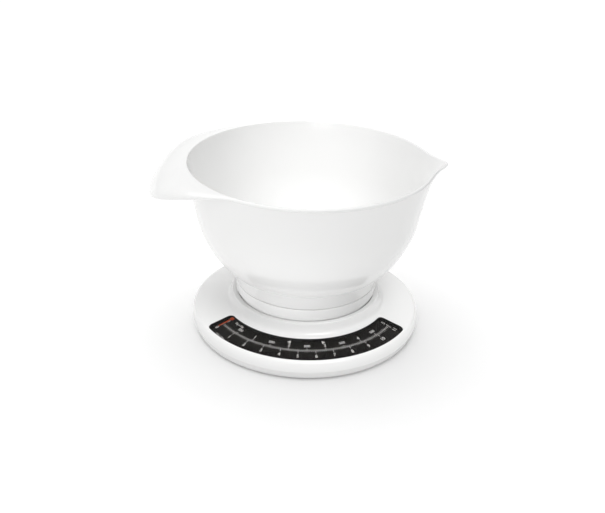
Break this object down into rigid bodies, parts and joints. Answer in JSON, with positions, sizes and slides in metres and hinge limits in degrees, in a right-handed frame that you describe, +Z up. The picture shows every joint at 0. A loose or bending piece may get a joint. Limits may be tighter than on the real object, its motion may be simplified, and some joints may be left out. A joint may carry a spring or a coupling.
{
  "type": "kitchen scale",
  "caption": "Mechanical kitchen scale: round base with an arc dial under a window, sprung platform and a lift-off mixing bowl with a spout and a wide curved handle.",
  "frame": {"origin": "under the middle of the bounding box, on the surface the feet stand on; the vertical axis of the base, platform and bowl stands 8.6 mm to +X of it", "axes": "+X towards the spout, -X towards the handle, -Y towards the dial, +Z up"},
  "size_m": [0.2446, 0.2046, 0.1499],
  "materials": {
    "white_plastic": "polished white moulded plastic",
    "dial_black": "satin black with white print",
    "clear_window": "clear moulded acrylic",
    "orange_pointer": "orange-red satin",
    "rubber": "soft grey",
    "steel": "zinc plated",
    "spring_steel": "oiled wire",
    "brass": "as machined",
    "nylon": "natural nylon"
  },
  "bodies": {
    "base": {"base_shell": "white_plastic", "bottom_plate": "white_plastic", "dial_plate": "dial_black", "dial_window": "clear_window", "chassis": "steel", "spindle_bush": "nylon", "rack_guide": "nylon", "crank_bracket": "steel", "crank_pin": "steel", "zero_pivot_pin": "steel", "weighing_spring_left": "spring_steel", "weighing_spring_right": "spring_steel", "foot_front_left": "rubber", "foot_front_right": "rubber", "foot_rear_left": "rubber", "foot_rear_right": "rubber", "casing_screw_front_left": "steel", "casing_screw_front_right": "steel", "casing_screw_rear_left": "steel", "casing_screw_rear_right": "steel", "guide_bush_front_left": "nylon", "guide_bush_front_right": "nylon", "guide_bush_rear_left": "nylon", "guide_bush_rear_right": "nylon", "chassis_screw_front_left": "steel", "chassis_screw_front_right": "steel", "chassis_screw_rear_left": "steel", "chassis_screw_rear_right": "steel"},
    "platform": {"platform": "white_plastic", "platform_carrier": "steel", "push_pin": "steel", "platform_post_front_left": "steel", "platform_post_front_right": "steel", "platform_post_rear_left": "steel", "platform_post_rear_right": "steel", "platform_screw_front_left": "steel", "platform_screw_front_right": "steel", "platform_screw_rear_left": "steel", "platform_screw_rear_right": "steel", "carrier_screw_front_left": "steel", "carrier_screw_front_right": "steel", "carrier_screw_rear_left": "steel", "carrier_screw_rear_right": "steel"},
    "bowl": {"bowl": "white_plastic"},
    "crank": {"crank": "steel"},
    "rack": {"rack": "brass"},
    "pointer": {"pointer": "orange_pointer", "pinion_spindle": "brass"},
    "zero_wheel": {"zero_wheel": "white_plastic"},
    "zero_lever": {"zero_lever": "steel"}
  },
  "joints": [
    {"name": "platform_travel", "type": "slide", "parent": "base", "child": "platform", "axis": [0, 0, -1], "range_m": [0, 0.0025], "stiffness_N_per_m": 19620, "springref_m": -0.00016, "deforming": ["weighing_spring_left", "weighing_spring_right"]},
    {"name": "bowl_lift", "type": "slide", "parent": "platform", "child": "bowl", "axis": [0, 0, 1], "range_m": [0, 0.12]},
    {"name": "crank_turn", "type": "hinge", "parent": "base", "child": "crank", "pos_m": [0.01372, 0.026, 0.02979], "axis": [1, 0, 0], "range_deg": [0, 28.65]},
    {"name": "rack_slide", "type": "slide", "parent": "base", "child": "rack", "axis": [0, 1, 0], "range_m": [0, 0.0061]},
    {"name": "pointer_turn", "type": "hinge", "parent": "base", "child": "pointer", "pos_m": [0.00862, 0, 0.02], "axis": [0, 0, 1], "range_deg": [0, 116.4]},
    {"name": "zero_wheel_turn", "type": "hinge", "parent": "base", "child": "zero_wheel", "pos_m": [0.00862, 0.09, 0.007], "axis": [0, 0, 1], "range_deg": [-360, 360]},
    {"name": "zero_lever_tilt", "type": "hinge", "parent": "base", "child": "zero_lever", "pos_m": [0.00862, 0.052, 0.0172], "axis": [1, 0, 0], "range_deg": [-1.1, 1.1]}
  ],
  "couplings": [
    {"joint": "crank_turn", "follows": "platform_travel", "rad_per_m": 200},
    {"joint": "rack_slide", "follows": "platform_travel", "ratio": 2.438},
    {"joint": "pointer_turn", "follows": "platform_travel", "rad_per_m": 812.6},
    {"joint": "zero_lever_tilt", "follows": "zero_wheel_turn", "ratio": 0.002932}
  ]
}
